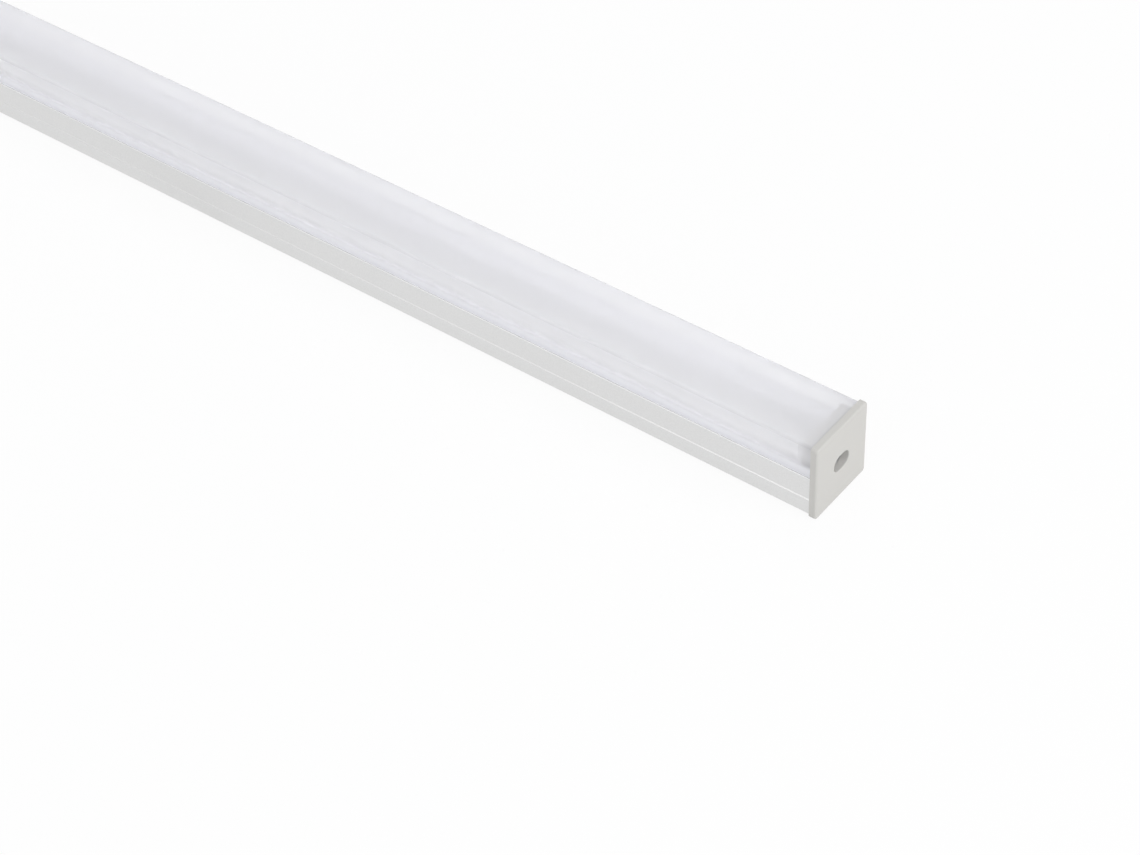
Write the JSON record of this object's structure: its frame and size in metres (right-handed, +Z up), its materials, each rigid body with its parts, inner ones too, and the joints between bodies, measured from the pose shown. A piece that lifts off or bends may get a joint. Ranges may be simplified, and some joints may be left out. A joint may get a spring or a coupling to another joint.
{
  "type": "led strip aluminium profile",
  "caption": "Slim surface-mounted aluminium profile for LED tape, with a snap-in milky cover, a clip slot along its back and push-in end caps, one with a cable hole.",
  "frame": {"origin": "centre of the lowest plane of the end caps, midway along the profile", "axes": "+X along the profile towards the end cap with the cable hole, +Y across it, +Z up from the back, out through the milky cover"},
  "size_m": [0.3034, 0.0176, 0.0188],
  "materials": {
    "anodised_aluminium": "fine matt silver anodised, drawn along its length",
    "milky_plastic": "opal, smooth and slightly see-through",
    "light_grey_plastic": "warm light grey, moulded, satin"
  },
  "bodies": {
    "profile": {"aluminium_extrusion": "anodised_aluminium", "milky_cover": "milky_plastic"},
    "cable_cap": {"cable_end_cap": "light_grey_plastic"},
    "blind_cap": {"blind_end_cap": "light_grey_plastic"}
  },
  "joints": [
    {"name": "cable_cap_pull", "type": "slide", "parent": "profile", "child": "cable_cap", "axis": [1, 0, 0], "range_m": [0, 0.01]},
    {"name": "blind_cap_pull", "type": "slide", "parent": "profile", "child": "blind_cap", "axis": [-1, 0, 0], "range_m": [0, 0.01]}
  ]
}
